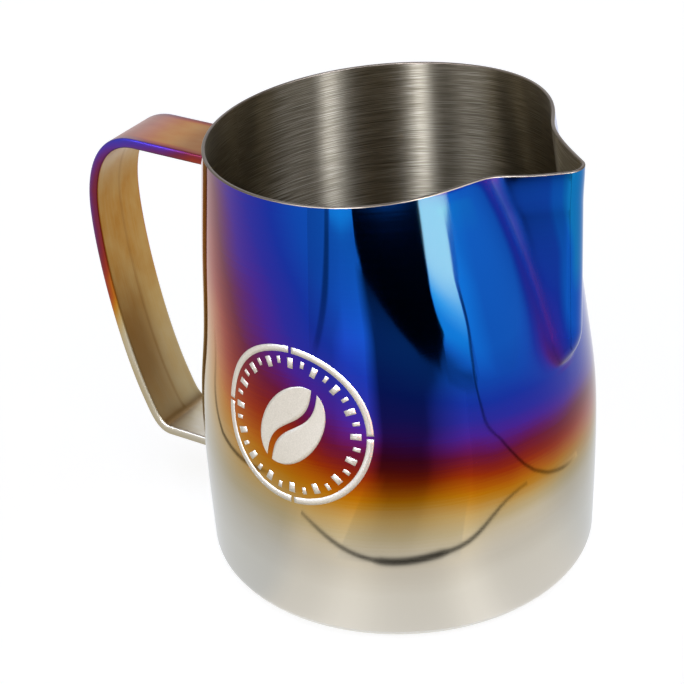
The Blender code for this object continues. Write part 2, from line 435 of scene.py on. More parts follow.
def jug_section(angle):
    """Points (radius, height, zone) of the sheet's section, from the underside round to the inside."""
    rim = rim_height(angle)
    corner_radius = WALL_PROFILE[0][1] - BASE_CORNER
    inner_corner = BASE_CORNER - WALL_THICKNESS
    wall_zs = [mix(BASE_CORNER, rim - LIP_ROUND, (i + 1) / WALL_STEPS) for i in range(WALL_STEPS)]
    discs = [corner_radius * (i + 1) / DISC_RINGS for i in range(DISC_RINGS)]
    turns = [math.pi / 2 * (i + 1) / CORNER_STEPS for i in range(CORNER_STEPS)]
    points = [(radius, 0.0, OUTSIDE) for radius in discs]
    for t in turns:
        points.append((corner_radius + BASE_CORNER * math.sin(t), BASE_CORNER * (1 - math.cos(t)), OUTSIDE))
    points += [(outer_radius(angle, z), z, OUTSIDE) for z in wall_zs]
    edge = outer_radius(angle, rim)
    across = WALL_THICKNESS * sheet_stretch(angle, rim)
    for i in range(1, LIP_STEPS):
        t = math.pi * i / LIP_STEPS
        points.append((edge - across * (1 - math.cos(t)) / 2, rim - LIP_ROUND * (1 - math.sin(t)), LIP))
    for z in reversed(wall_zs):
        points.append((outer_radius(angle, z) - WALL_THICKNESS * sheet_stretch(angle, z), z, INSIDE))
    for t in reversed([0.0] + turns[:-1]):
        radius = corner_radius + inner_corner * math.sin(t)
        points.append((radius, WALL_THICKNESS + inner_corner * (1 - math.cos(t)), INSIDE))
    points += [(radius, WALL_THICKNESS, INSIDE) for radius in reversed(discs[:-1])]
    return points


def make_jug(coating, lip, brushed):
    """The jug's sheet as one closed mesh of columns and rows, with the middles of the base as its poles.
    Its grain is the place on the sheet: the arc around the jug, and the length up, over and down the wall."""
    angles = column_angles()
    sections = [jug_section(angle) for angle in angles]
    rows = len(sections[0])
    verts, tints, wear, grain = [Vector((0, 0, 0))], [0.0], [0.0], [Vector((0, 0, 0))]
    for angle, section in zip(angles, sections):
        length = 0.0
        before = (0.0, 0.0)
        for radius, z, zone in section:
            length += math.hypot(radius - before[0], z - before[1])
            before = (radius, z)
            verts.append(around(angle, radius, z))
            tints.append(wall_tint(angle, z) if zone == OUTSIDE else 0.0)
            # the crease wear also serves as painted shade in the coating's colour
            wear.append(crease_wear_and_shade(angle, z) if zone == OUTSIDE else 0.0)
            grain.append(Vector((angle * GRAIN_RADIUS, length, 0)))
    verts.append(Vector((0, 0, WALL_THICKNESS)))
    tints.append(0.0)
    wear.append(0.0)
    grain.append(Vector((0, length + before[0], 0)))
    faces, slots = [], []
    zones = [zone for _, _, zone in sections[0]]
    for column in range(len(angles)):
        here = 1 + column * rows
        there = 1 + (column + 1) % len(angles) * rows
        faces.append((0, there, here))
        slots.append(OUTSIDE)
        for row in range(rows - 1):
            faces.append((here + row, there + row, there + row + 1, here + row + 1))
            slots.append(zones[row] if zones[row] == zones[row + 1] else LIP)
        faces.append((len(verts) - 1, here + rows - 1, there + rows - 1))
        slots.append(INSIDE)
    jug = mesh_object("jug_shell", verts, faces, [coating, lip, brushed], slots)
    lip_rows = zones.index(LIP) - 1, zones.index(INSIDE)  # where the lip meets the wall's two sides
    sharp = []
    for edge in jug.data.edges:
        a, b = ((vertex - 1) % rows for vertex in edge.vertices)
        sharp.append(a == b and a in lip_rows)
    jug.data.attributes.new("sharp_edge", "BOOLEAN", "EDGE").data.foreach_set("value", sharp)
    put_floats(jug, "tint", tints)
    put_floats(jug, "wear", wear)
    put_vectors(jug, "grain", grain)
    return jug


def bezier(p0, p1, p2, p3, steps):
    """Points of a cubic curve, without its last one."""
    points = []
    for i in range(steps):
        t = i / steps
        s = 1 - t
        points.append(s**3 * p0 + 3 * s * s * t * p1 + 3 * s * t * t * p2 + t**3 * p3)
    return points


def straight(start, end, steps):
    return [mix(start, end, i / steps) for i in range(steps)]


def strip_line():
    """The strip's centre line in the plane y = 0, as points (x, z), from the upper to the lower root."""
    lean = Vector((math.sin(LOWER_BEND_LEAN), -math.cos(LOWER_BEND_LEAN)))
    upper_root = Vector((-wall_radius(UPPER_LEG_Z), UPPER_LEG_Z))
    upper_end = Vector((UPPER_LEG_END_X, UPPER_LEG_Z))
    grip = Vector((GRIP_X, GRIP_Z))
    bend = Vector((LOWER_BEND_X, LOWER_BEND_Z))
    lower_end = Vector((LOWER_LEG_END_X, LOWER_LEG_Z))
    lower_root = Vector((-wall_radius(LOWER_LEG_Z), LOWER_LEG_Z))
    out, up = Vector((-1, 0)), Vector((0, 1))
    line = straight(upper_root, upper_end, 20)
    line += bezier(upper_end, upper_end + UPPER_BEND_PULL * out, grip + GRIP_PULL_UP * up, grip, 36)
    line += bezier(grip, grip - GRIP_PULL_DOWN * up, bend - LOWER_BEND_PULL_UP * lean, bend, 60)
    line += bezier(bend, bend + LOWER_BEND_PULL_DOWN * lean, lower_end + LOWER_LEG_PULL * out, lower_end, 24)
    line += straight(lower_end, lower_root, 16)
    return line + [lower_root]


def strip_section():
    """The strip's section, as points (across, through, part) around it."""
    half_width, half_depth = STRIP_WIDTH / 2, STRIP_THICKNESS / 2
    flat = half_width - STRIP_EDGE
    points = []
    for side, part in ((1, OUTER_FACE), (-1, INNER_FACE)):
        for i in range(FACE_STEPS + 1):
            points.append((side * mix(-flat, flat, i / FACE_STEPS), side * half_depth, part))
        for i in range(1, EDGE_STEPS):
            t = math.pi * i / EDGE_STEPS
            reach = half_width - STRIP_EDGE * (1 - math.sin(t) ** 0.7)
            height = half_depth * math.copysign(abs(math.cos(t)) ** 0.8, math.cos(t))
            points.append((side * reach, side * height, EDGE))
    return points


def make_handle(material):
    """The strip as one closed mesh of rings. Its grain is the place on the strip, across and along it."""
    line, section = strip_line(), strip_section()
    verts, tints, paleness_and_highlight, shade_and_line, grain = [], [], [], [], []
    length = 0.0
    for index, point in enumerate(line):
        before, after = line[max(index - 1, 0)], line[min(index + 1, len(line) - 1)]
        along = (after - before).normalized()
        normal = Vector((along.y, -along.x))
        if index:
            length += (point - line[index - 1]).length
        for across, through, part in section:
            spot = point + normal * through
            x, z = spot
            if index in (0, len(line) - 1):  # both ends follow the wall
                x = -math.sqrt((wall_radius(z) + ROOT_GAP) ** 2 - across * across)
            verts.append(Vector((x, across, z)))
            tints.append(strip_tint(part, across, through, length / MM))
            paleness_and_highlight.append(strip_paleness_and_highlight(part, length / MM))
            shade_and_line.append(strip_shade_and_line(part, across, length / MM))
            grain.append(Vector((across, length, 0)))
    count = len(section)
    faces = []
    for ring in range(len(line) - 1):
        for i in range(count):
            j = (i + 1) % count
            a, b = ring * count, (ring + 1) * count
            faces.append((a + i, a + j, b + j, b + i))
    faces.append(tuple(reversed(range(count))))
    faces.append(tuple((len(line) - 1) * count + i for i in range(count)))
    handle = mesh_object("handle_strip", verts, faces, [material])
    put_floats(handle, "tint", tints)
    put_floats(handle, "pale", paleness_and_highlight)
    put_floats(handle, "shade_and_line", shade_and_line)
    put_vectors(handle, "grain", grain)
    return handle


def bead_outline():
    """The bead's course around the strip's section, as points (y, z) from the leg's centre."""
    half_width = STRIP_WIDTH / 2 - STRIP_EDGE
    half_height = STRIP_THICKNESS / 2 - STRIP_EDGE
    spread = STRIP_EDGE + BEAD_CLEARANCE
    outline = []
    for corner, (side, level) in enumerate(((1, 1), (-1, 1), (-1, -1), (1, -1))):
        for step in range(BEAD_CORNER_STEPS + 1):
            turn = math.pi / 2 * (corner + step / BEAD_CORNER_STEPS)
            y = side * half_width + spread * math.cos(turn)
            z = level * half_height + spread * math.sin(turn)
            outline.append((y, z))
        if side * level > 0:  # from here it runs along the strip's width
            outline += [(mix(y, -y, i / BEAD_SIDE_STEPS), z) for i in range(1, BEAD_SIDE_STEPS)]
    return outline


def make_weld(name, leg_z, material):
    """A bead of weld metal around the end of one leg, with the fine ripples that the torch leaves."""
    outline = bead_outline()
    verts, tints = [], []
    for index, (y, z) in enumerate(outline):
        radius = BEAD_RADIUS * (0.62 + 0.05 * math.sin(index * 2.1) + 0.03 * math.sin(index * 0.7))
        reach = wall_radius(leg_z + z) + BEAD_LIFT
        centre = Vector((-math.sqrt(reach * reach - y * y), y, leg_z + z))
        outward = Vector((0, y, z * 5)).normalized()
        away = Vector((-1, 0, 0))
        for i in range(BEAD_SIDES):
            t = 2 * math.pi * i / BEAD_SIDES
            verts.append(centre + radius * (outward * math.cos(t) + away * math.sin(t)))
            tints.append(34.0 + 6.0 * math.sin(index * 0.4))
    faces = []
    for index in range(len(outline)):
        a, b = index * BEAD_SIDES, (index + 1) % len(outline) * BEAD_SIDES
        for i in range(BEAD_SIDES):
            j = (i + 1) % BEAD_SIDES
            faces.append((a + i, a + j, b + j, b + i))
    bead = mesh_object(name, verts, faces, [material])
    put_floats(bead, "tint", tints)
    return bead


# ---------------------------------------------------------------- etched mark

MARK_ANGLE = math.radians(-89.0)
MARK_Z = 53.0 * MM
MARK_RADIUS = 18.5 * MM
MARK_FACE = 0.05 * MM  # the mark's face stands this far off the wall
MARK_BACK = 0.01 * MM
MARK_RING = 1.5 * MM  # width of the ring
MARK_GAP = math.radians(1.2)  # half of each gap in the ring
TICKS = 32
TICK_TOP = 2.6 * MM  # distances of the ticks' ends from the outside of the ring
LONG_TICK_END = 5.0 * MM
SHORT_TICK_END = 4.2 * MM
LONG_TICK_HALF = math.radians(2.6)
SHORT_TICK_HALF = math.radians(1.6)
BEAN_HALF_LENGTH = 10.6 * MM
BEAN_HALF_WIDTH = 6.9 * MM
BEAN_SEAM = 1.5 * MM  # width of the cut between the bean's halves
BEAN_SWING = 1.5 * MM  # how far the cut swings to each side
BEAN_LEAN = math.radians(-32)


def on_wall(u, v, lift):
    """The point of the wall that lies u around and v up from the mark's centre."""
    z = MARK_Z + v
    radius = wall_radius(z)
    return around(MARK_ANGLE + u / wall_radius(MARK_Z), radius + lift, z)


def add_slab(verts, faces, left, right, across):
    """A thin closed slab between two lines of points (u, v), subdivided so that it follows the wall."""
    grid = [[mix(a, b, j / across) for j in range(across + 1)] for a, b in zip(left, right)]
    rows, width = len(grid), across + 1
    start = len(verts)
    for lift in (MARK_FACE, MARK_BACK):
        verts += [on_wall(point.x, point.y, lift) for row in grid for point in row]
    back = start + rows * width
    for r in range(rows - 1):
        for c in range(across):
            a = start + r * width + c
            faces.append((a, a + 1, a + width + 1, a + width))
            b = back + r * width + c
            faces.append((b + width, b + width + 1, b + 1, b))
    ring = [r * width for r in range(rows)]
    ring += [(rows - 1) * width + c for c in range(1, width)]
    ring += [r * width + across for r in range(rows - 2, -1, -1)]
    ring += [c for c in range(across - 1, 0, -1)]
    for i, here in enumerate(ring):
        there = ring[(i + 1) % len(ring)]
        faces.append((start + here, start + there, back + there, back + here))


def arc(radius, start, stop, steps):
    """Points (u, v) of an arc around the mark's centre."""
    turns = [mix(start, stop, i / steps) for i in range(steps + 1)]
    return [Vector((radius * math.cos(t), radius * math.sin(t))) for t in turns]


def add_arc_slab(verts, faces, outer, inner, start, stop, steps):
    """A slab between two radii and two angles around the mark's centre."""
    add_slab(verts, faces, arc(outer, start, stop, steps), arc(inner, start, stop, steps), 2)


def add_bean_half(verts, faces, side):
    """One half of the bean, which ends at the swinging cut along its middle."""
    lean = Matrix.Rotation(BEAN_LEAN, 2)
    steps = 40
    edge, seam = [], []
    for i in range(steps + 1):
        t = mix(-math.pi / 2, math.pi / 2, i / steps)
        along = BEAN_HALF_LENGTH * math.sin(t)
        cut = BEAN_SWING * math.sin(math.pi * math.sin(t)) + side * BEAN_SEAM / 2
        reach = side * BEAN_HALF_WIDTH * math.cos(t)
        reach = max(reach, cut) if side > 0 else min(reach, cut)
        edge.append(lean @ Vector((reach, along)))
        seam.append(lean @ Vector((cut, along)))
    add_slab(verts, faces, edge, seam, 8)


def make_mark(material):
    """A generic mark: a ring in four parts, a circle of ticks inside it and a coffee bean in the middle."""
    verts, faces = [], []
    full = 2 * math.pi
    for quarter in range(4):
        start = quarter * full / 4 + MARK_GAP
        stop = (quarter + 1) * full / 4 - MARK_GAP
        add_arc_slab(verts, faces, MARK_RADIUS, MARK_RADIUS - MARK_RING, start, stop, 40)
    for tick in range(TICKS):
        middle = full * tick / TICKS
        half = SHORT_TICK_HALF if tick % 2 else LONG_TICK_HALF
        inner = MARK_RADIUS - (SHORT_TICK_END if tick % 2 else LONG_TICK_END)
        add_arc_slab(verts, faces, MARK_RADIUS - TICK_TOP, inner, middle - half, middle + half, 3)
    for side in (1, -1):
        add_bean_half(verts, faces, side)
    return mesh_object("etched_mark", verts, faces, [material])


# ---------------------------------------------------------------- materials

class Nodes:
    """Builds one node material around its Principled BSDF. An input may be a socket or a constant."""

    def __init__(self, name):
        self.material = bpy.data.materials.new(name)
        self.material.use_nodes = True
        self.tree = self.material.node_tree
        self.shader = self.tree.nodes["Principled BSDF"]

    def add(self, kind, settings=None, inputs=None):
        node = self.tree.nodes.new("ShaderNode" + kind)
        for key, value in (settings or {}).items():
            setattr(node, key, value)
        for key, value in (inputs or {}).items():
            self.feed(node.inputs[key], value)
        return node

    def feed(self, socket, value):
        if isinstance(value, bpy.types.NodeSocket):
            self.tree.links.new(value, socket)
        else:
            socket.default_value = value

    def math(self, operation, a, b):
        return self.add("Math", {"operation": operation}, {0: a, 1: b}).outputs[0]

    def attribute(self, name, output):
        return self.add("Attribute", {"attribute_name": name}).outputs[output]

    def position(self):
        """The point's position in the object, in metres."""
        return self.add("TexCoord").outputs["Object"]

    def noise(self, vector, scale, detail):
        """A noise from 0 to 1. The scale is (x, y, z) in cycles per metre."""
        spread = self.add("Mapping", None, {"Vector": vector, "Scale": scale}).outputs["Vector"]
        return self.add("TexNoise", None, {"Vector": spread, "Scale": 1.0, "Detail": detail}).outputs["Fac"]

    def spread(self, value, low, high, to_low, to_high):
        inputs = {"Value": value, "From Min": low, "From Max": high, "To Min": to_low, "To Max": to_high}
        return self.add("MapRange", None, inputs).outputs["Result"]

    def ramp(self, value, stops):
        """The colour at value, from stops (position, colour)."""
        node = self.add("ValToRGB", None, {"Fac": value})
        elements = node.color_ramp.elements
        elements.remove(elements[1])
        for index, (position, color) in enumerate(stops):
            element = elements[0] if index == 0 else elements.new(position)
            element.position = position
            element.color = (*color, 1.0)
        return node.outputs["Color"]

    def bump(self, height, distance, strength):
        inputs = {"Height": height, "Distance": distance, "Strength": strength}
        return self.add("Bump", None, inputs).outputs["Normal"]

    def mixed(self, share, color, other, blend="MIX"):
        """A colour with a share of another mixed in. The other is given as a linear colour."""
        inputs = {"Fac": share, "Color1": color, "Color2": (*other, 1.0)}
        return self.add("MixRGB", {"blend_type": blend}, inputs).outputs["Color"]

    def tint(self, *variations):
        """The mesh's tint plus variations (noise, size), each mostly between minus and plus its size."""
        tint = self.attribute("tint", "Fac")
        for noise, size in variations:
            tint = self.math("ADD", tint, self.spread(noise, 0.3, 0.7, -size, size))
        return tint

    def tint_color(self, tint):
        share = self.math("DIVIDE", tint, TINT_TOP)
        return self.ramp(share, [(level / TINT_TOP, linear(*levels)) for level, *levels in TINT_COLORS])

    def metal(self, color, roughness, normal=None):
        self.feed(self.shader.inputs["Base Color"], color)
        self.feed(self.shader.inputs["Roughness"], roughness)
        self.feed(self.shader.inputs["Metallic"], 1.0)
        if normal:
            self.feed(self.shader.inputs["Normal"], normal)

    def brushing(self, anisotropy):
        """Brushing around the jug's axis, which stretches every highlight up and down the wall."""
        tangent = self.add("Tangent", {"direction_type": "RADIAL", "axis": "Z"})
        self.feed(self.shader.inputs["Anisotropic"], anisotropy)
        self.feed(self.shader.inputs["Anisotropic Rotation"], 0.25)
        self.feed(self.shader.inputs["Tangent"], tangent.outputs[0])


def coated_material():
    """Bright rolled steel under a heat-tint coating, with fine lines around the jug and dull worn creases,
    whose colour is darkened towards deep blue as painted shade.
    """
    nodes = Nodes("coated_steel")
    clouds = nodes.noise(nodes.position(), (45, 45, 45), 2.0)
    lines = nodes.noise(nodes.attribute("grain", "Vector"), (30, 2600, 1), 4.0)
    tint = nodes.tint((clouds, 0.9), (lines, 0.35))
    wear = nodes.attribute("wear", "Fac")
    # painted shade: the worn creases, and a little of the nose, darkened towards deep blue
    color = nodes.mixed(nodes.math("MULTIPLY", wear, 0.5), nodes.tint_color(tint), linear(3, 28, 118))
    rough = nodes.spread(tint, 20.0, 62.0, 0.06, 0.045)
    rough = nodes.math("ADD", rough, nodes.spread(lines, 0.2, 0.8, -0.01, 0.01))
    rough = nodes.math("ADD", rough, nodes.math("MULTIPLY", wear, 0.14))
    nodes.metal(color, rough, nodes.bump(lines, 0.001 * MM, 0.5))
    nodes.brushing(0.8)
    nodes.feed(nodes.shader.inputs["Coat Weight"], 0.04)
    nodes.feed(nodes.shader.inputs["Coat Roughness"], 0.05)
    return nodes.material


def brushed_material():
    """Bare steel inside the jug, brushed around with scratches of uneven length."""
    nodes = Nodes("brushed_steel")
    grain = nodes.attribute("grain", "Vector")
    fine = nodes.noise(grain, (130, 8000, 1), 2.0)
    broad = nodes.noise(grain, (36, 4400, 1), 2.0)
    lines = nodes.math("ADD", nodes.math("MULTIPLY", fine, 0.6), nodes.math("MULTIPLY", broad, 0.4))
    dark, middle, bright = linear(101, 89, 68), linear(138, 125, 100), linear(174, 162, 136)
    color = nodes.ramp(lines, [(0.36, dark), (0.5, middle), (0.64, bright)])
    nodes.metal(color, nodes.spread(broad, 0.25, 0.75, 0.28, 0.33), nodes.bump(lines, 0.012 * MM, 0.6))
    nodes.brushing(1.0)
    return nodes.material


def lip_material():
    """The ground edge of the sheet along the rim."""
    nodes = Nodes("cut_edge")
    wear = nodes.noise(nodes.attribute("grain", "Vector"), (40, 300, 1), 2.0)
    color = nodes.ramp(wear, [(0.3, linear(88, 76, 62)), (0.7, linear(114, 102, 86))])
    nodes.metal(color, nodes.spread(wear, 0.3, 0.7, 0.3, 0.38))
    return nodes.material


def strip_material():
    """Satin steel strip, brushed lengthwise under the same coating, with a painted highlight and painted
    shade taken from the mesh.
    """
    nodes = Nodes("satin_strip")
    grain = nodes.attribute("grain", "Vector")
    fine = nodes.noise(grain, (3800, 45, 1), 4.0)
    blotch = nodes.noise(grain, (260, 120, 1), 3.0)
    color = nodes.tint_color(nodes.tint((blotch, 0.8), (fine, 0.5)))
    # the pale attribute pales the colour, and paints the highlight in the outer face's upper bend
    color = nodes.mixed(nodes.attribute("pale", "Fac"), color, linear(206, 184, 170))
    # multiplies in the painted shade and the faint line on the handle's faces
    color = nodes.mixed(nodes.attribute("shade_and_line", "Fac"), color, (0.46, 0.33, 0.2), "MULTIPLY")
    nodes.metal(color, nodes.spread(blotch, 0.3, 0.7, 0.33, 0.41), nodes.bump(fine, 0.01 * MM, 0.5))
    return nodes.material


def weld_material():
    """Weld metal with uneven heat tints."""
    nodes = Nodes("weld_metal")
    grit = nodes.noise(nodes.position(), (900, 900, 900), 4.0)
    color = nodes.tint_color(nodes.tint((grit, 5.0)))
    nodes.metal(color, nodes.spread(grit, 0.3, 0.7, 0.3, 0.5), nodes.bump(grit, 0.05 * MM, 0.6))
    return nodes.material


def mark_material():
    """Frosted bare steel, where the coating is etched away."""
    nodes = Nodes("etched_steel")
    frost = nodes.noise(nodes.position(), (4000, 4000, 4000), 3.0)
    color = nodes.ramp(frost, [(0.3, linear(196, 187, 170)), (0.7, linear(214, 205, 188))])
    nodes.metal(color, nodes.spread(frost, 0.3, 0.7, 0.42, 0.52), nodes.bump(frost, 0.01 * MM, 0.4))
    return nodes.material


# ---------------------------------------------------------------- stage

FLOOR_HALF = 6.0
FLOOR_GLOW = 0.72
# Heights of the cards over the floor, in mm, from the lowest one to the one that covers all others
RING_LIFT = 0.3
SHADE_LIFT = 0.5
FLAG_SIDE_LIFT = 0.6
CAP_LIFT = 0.7
REFLECTOR_LIFT = 0.8
FLAG_LIFT = 1.0
LINE_LIFT = 1.2
LINE_CORE = 0.22  # half of a line card's dark core, as a share of its width
# The reflected table edges, as points (x, y) and as points (degrees around the jug, radius)
FAR_EDGE = [(67, 49), (95, 15), (130, -6), (165, -25), (205, -56), (235, -67), (290, -70), (430, -100)]
NEAR_EDGE = [(-103, 88), (-84, 76.5), (-57, 72.4), (-42, 74.2), (-30, 77.2), (-10, 91), (5, 95)]
NEAR_EDGE_MIDDLE = -54  # where the near edge is darkest
# The grey area in front of the flag, by the distance from the jug's axis: the angles where it ends to the
# left and to the right, and its tone
GREY_LEFT = [(70, -86), (100, -78), (150, -73.5), (240, -70.5), (340, -72.5)]
GREY_RIGHT = [(70, -36), (110, -27), (210, -23), (250, -22), (290, -32), (330, -54), (345, -62)]
GREY_TONE = [(70, 0.98), (100, 0.66), (125, 0.43), (155, 0.27), (200, 0.23), (250, 0.24), (340, 0.05)]
LAMP_COLOR = (0.9, 1.04, 1.42)
LAMP_AIM = Vector((0, 0, 0.06))  # what the lamps point at: the middle of the jug


def make_floor():
    """A pale floor that glows a little, so that it stays nearly white under soft light."""
    nodes = Nodes("pale_floor")
    nodes.feed(nodes.shader.inputs["Base Color"], (0.5, 0.5, 0.5, 1.0))
    nodes.feed(nodes.shader.inputs["Roughness"], 0.9)
    nodes.feed(nodes.shader.inputs["Specular IOR Level"], 0.0)
    nodes.feed(nodes.shader.inputs["Emission Color"], (1.0, 1.0, 1.0, 1.0))
    nodes.feed(nodes.shader.inputs["Emission Strength"], FLOOR_GLOW)
    corners = [Vector((x, y, 0)) * FLOOR_HALF for x, y in ((-1, -1), (1, -1), (1, 1), (-1, 1))]
    mesh_object("floor", corners, [(0, 1, 2, 3)], [nodes.material])


def make_card(name, rows, lift):
    """A thin sheet just above the floor that is only seen mirrored in the metal, as studio flags and
    reflectors are. It is a grid of points (x, y, radiance), with x and y in mm. A radiance is a grey level
    or a colour, and 1 is about as bright as the floor."""
    width = len(rows[0])
    verts = [Vector((x, y, lift)) * MM for row in rows for x, y, _ in row]
    faces = []
    for r in range(len(rows) - 1):
        for c in range(width - 1):
            a = r * width + c
            faces.append((a, a + 1, a + width + 1, a + width))
    material = bpy.data.materials.new(name)
    material.use_nodes = True
    tree = material.node_tree
    tree.nodes.remove(tree.nodes["Principled BSDF"])
    glow = tree.nodes.new("ShaderNodeEmission")
    radiance = tree.nodes.new("ShaderNodeAttribute")
    radiance.attribute_name = "radiance"
    tree.links.new(radiance.outputs["Vector"], glow.inputs["Color"])
    tree.links.new(glow.outputs[0], tree.nodes["Material Output"].inputs["Surface"])
    card = mesh_object(name, verts, faces, [material])
    levels = [level if isinstance(level, tuple) else (level,) * 3 for row in rows for _, _, level in row]
    put_vectors(card, "radiance", levels)
    card.visible_camera = False
    card.visible_diffuse = False
    card.visible_shadow = False
    card.visible_transmission = False
    card.visible_volume_scatter = False


def make_line_card(name, points):
    """A dark line with soft sides, along points (x, y, width, radiance) in mm."""
    rows = []
    last = len(points) - 1
    for index, (x, y, width, level) in enumerate(points):
        before, after = points[max(index - 1, 0)], points[min(index + 1, last)]
        direction = Vector((after[0] - before[0], after[1] - before[1])).normalized()
        side = Vector((-direction.y, direction.x)) * width
        sides = ((-0.5, 1.0), (-LINE_CORE, level), (LINE_CORE, level), (0.5, 1.0))
        rows.append([(*(Vector((x, y)) + side * share), value) for share, value in sides])
    make_card(name, rows, LINE_LIFT)


def make_ring_card():
    """The floor close around the jug, which its lower wall mirrors: bright in front, greyer at the sides."""
    rows = []
    side, middle_tone = Vector((0.76, 0.78, 0.8)), Vector((0.94, 0.92, 0.89))
    outer_side = Vector((0.86, 0.88, 0.92))
    for turn in range(-180, 181, 4):
        front = smoothstep((turn + 114) / 16) * smoothstep((30 - turn) / 32)
        middle = middle_tone * (1 + 0.2 * bell((turn + 78) / 11) + 0.24 * bell((turn + 34) / 9))
        levels = [
            (44, side.lerp(middle, front)),
            (60, side.lerp(middle * 0.98, front)),
            (68, side.lerp(middle * 0.95, front)),
            (80, side.lerp(middle * 1.12, front)),
            (98, outer_side.lerp(middle * 1.08, front)),
            (140, (1.0, 1.0, 1.0)),
        ]
        toward = around(math.radians(turn), 1.0, 0.0)
        rows.append([(toward.x * radius, toward.y * radius, tuple(level)) for radius, level in levels])
    make_card("table_edge", rows, RING_LIFT)


def make_reflector_cards():
    """Bright cards. The strongest one is reddish, so that the blue coating mirrors it as white."""
    white, blue, dim = (60.0, 7.0, 1.9), (1.0, 2.2, 1.5), (1.0, 1.2, 1.15)
    make_card("reflector", [
        [(620, -246, white), (620, -62, white)],
        [(504, -224, white), (536, -104, white)],
        [(400, -203, white), (436, -108, white)],
        [(345, -186, (3.0, 3.6, 1.8)), (372, -90, (24.0, 4.8, 1.8))],
        [(310, -164, blue), (332, -80, (8.0, 3.4, 1.7))],
        [(270, -138, blue), (284, -70, blue)],
        [(250, -131, dim), (258, -70, dim)],
        [(232, -126, 0.45), (238, -60, 0.45)],
        [(205, -118, 0.5), (216, -62, 0.8)],
    ], REFLECTOR_LIFT)
    cap, cap_middle = (1.0, 2.0, 1.4), (1.0, 2.2, 1.5)
    make_card("glow_cap", [
        [(10, -366, 0.85), (70, -356, 0.85), (132, -366, 0.85)],
        [(14, -384, cap), (76, -380, cap_middle), (138, -384, cap)],
        [(30, -440, cap), (90, -440, cap_middle), (150, -440, cap)],
    ], CAP_LIFT)
    make_card("glow_right", [
        [(720, -70, (1.0, 1.45, 1.25)), (720, 10, 1.1), (720, 220, 1.0)],
        [(560, -76, (1.0, 1.45, 1.25)), (560, 0, 1.1), (560, 180, 1.0)],
        [(430, -90, (1.0, 1.9, 1.5)), (440, -10, 1.05), (420, 140, 1.0)],
        [(310, -70, (1.0, 1.7, 1.4)), (315, -10, 1.0), (300, 90, 1.0)],
        [(240, -54, 1.1), (240, -10, 1.05), (235, 30, 1.0)],
    ], SHADE_LIFT)


grey_left = natural_spline(GREY_LEFT)
grey_right = natural_spline(GREY_RIGHT)
grey_tone = natural_spline(GREY_TONE)


def grey_level(turn, radius):
    """Radiance of the grey area in front of the flag. Both of its sides fade out into the floor."""
    tone = grey_tone(radius)
    left_fade = mix(14.0, 6.0, smoothstep((radius - 80) / 80))
    right_fade = mix(22.0, 14.0, smoothstep((radius - 190) / 60))
    left = clamp(1.0 - (turn - grey_left(radius)) / left_fade)
    right = clamp(1.0 - (grey_right(radius) - turn) / right_fade) ** 0.65
    left_tone = 1.05 + 0.4 * bell((radius - 240) / 35)
    right_tone = mix(1.1, tone, smoothstep((radius - 228) / 45))
    return tone + left * (left_tone - tone) + right * (right_tone - tone)


def make_grey_card():
    """The grey area as a fan of points around the jug."""
    rows = []
    for radius in range(72, 343, 9):
        row = []
        for step in range(17):
            turn = mix(grey_left(radius), grey_right(radius), step / 16)
            x, y, _ = around(math.radians(turn), radius, 0.0)
            row.append((x, y, grey_level(turn, radius)))
        rows.append(row)
    make_card("flag_side", rows, FLAG_SIDE_LIFT)


def make_dark_cards():
    """A black flag and a grey area to its left."""
    dark = 0.002
    make_card("flag", [
        [(203, -144, dark), (211, -134, dark)],
        [(188, -167, dark), (227, -132, dark)],
        [(172, -238, dark), (271, -133, dark)],
        [(157, -272, dark), (305, -163, dark)],
        [(134, -306, dark), (340, -186, dark)],
        [(126, -345, dark), (400, -203, dark)],
        [(146, -400, dark), (504, -224, dark)],
        [(160, -430, dark), (560, -236, dark)],
    ], FLAG_LIFT)
    make_card("shade_left", [
        [(-40, -175, 1.0), (0, -178, 1.0), (30, -178, 1.2), (62, -176, 1.25)],
        [(-50, -215, 0.9), (0, -222, 1.0), (34, -224, 1.6), (80, -224, 1.6)],
        [(-65, -280, 0.85), (0, -282, 1.0), (40, -284, 1.15), (104, -282, 1.2)],
        [(-78, -340, 0.78), (4, -340, 0.85), (60, -345, 0.9), (124, -338, 0.9)],
        [(-90, -480, 0.75), (20, -440, 0.8), (80, -430, 0.8), (140, -400, 0.8)],
    ], SHADE_LIFT)


far_edge_y = natural_spline(FAR_EDGE)
near_edge_radius = natural_spline(NEAR_EDGE)


def make_line_cards():
    """The thin dark lines that the wall mirrors: the two edges and two seams of the studio's table."""
    far_edge = []
    for x in range(67, 431, 11):
        fade = max(smoothstep((80 - x) / 14), smoothstep((x - 385) / 45))
        far_edge.append((x, far_edge_y(x), 3.2 + (x / 128) ** 2, mix(0.29, 1.0, fade)))
    make_line_card("edge_far", far_edge)
    near_edge = []
    for turn in range(-103, 5, 4):
        broad = smoothstep((turn + 71) / 5) * smoothstep((-38 - turn) / 6)
        off_middle = abs(turn - NEAR_EDGE_MIDDLE) / 52
        x, y, _ = around(math.radians(turn), near_edge_radius(turn), 0.0)
        near_edge.append((x, y, 2.8 + 2.0 * broad, 0.5 * off_middle**2.5))
    make_line_card("edge_near", near_edge)
    make_line_card("seam_front", [
        (-52, -97, 5, 1.0), (-66, -80, 5, 0.2), (-97, -40, 6, 0.15), (-122, -24, 7, 0.4), (-148, -4, 8, 1.0),
    ])
    make_line_card("seam_left", [
        (-36, -186, 14, 1.0), (-30, -205, 16, 0.6), (-10, -285, 26, 0.35), (4, -345, 28, 0.3),
        (20, -440, 28, 0.6),
    ])


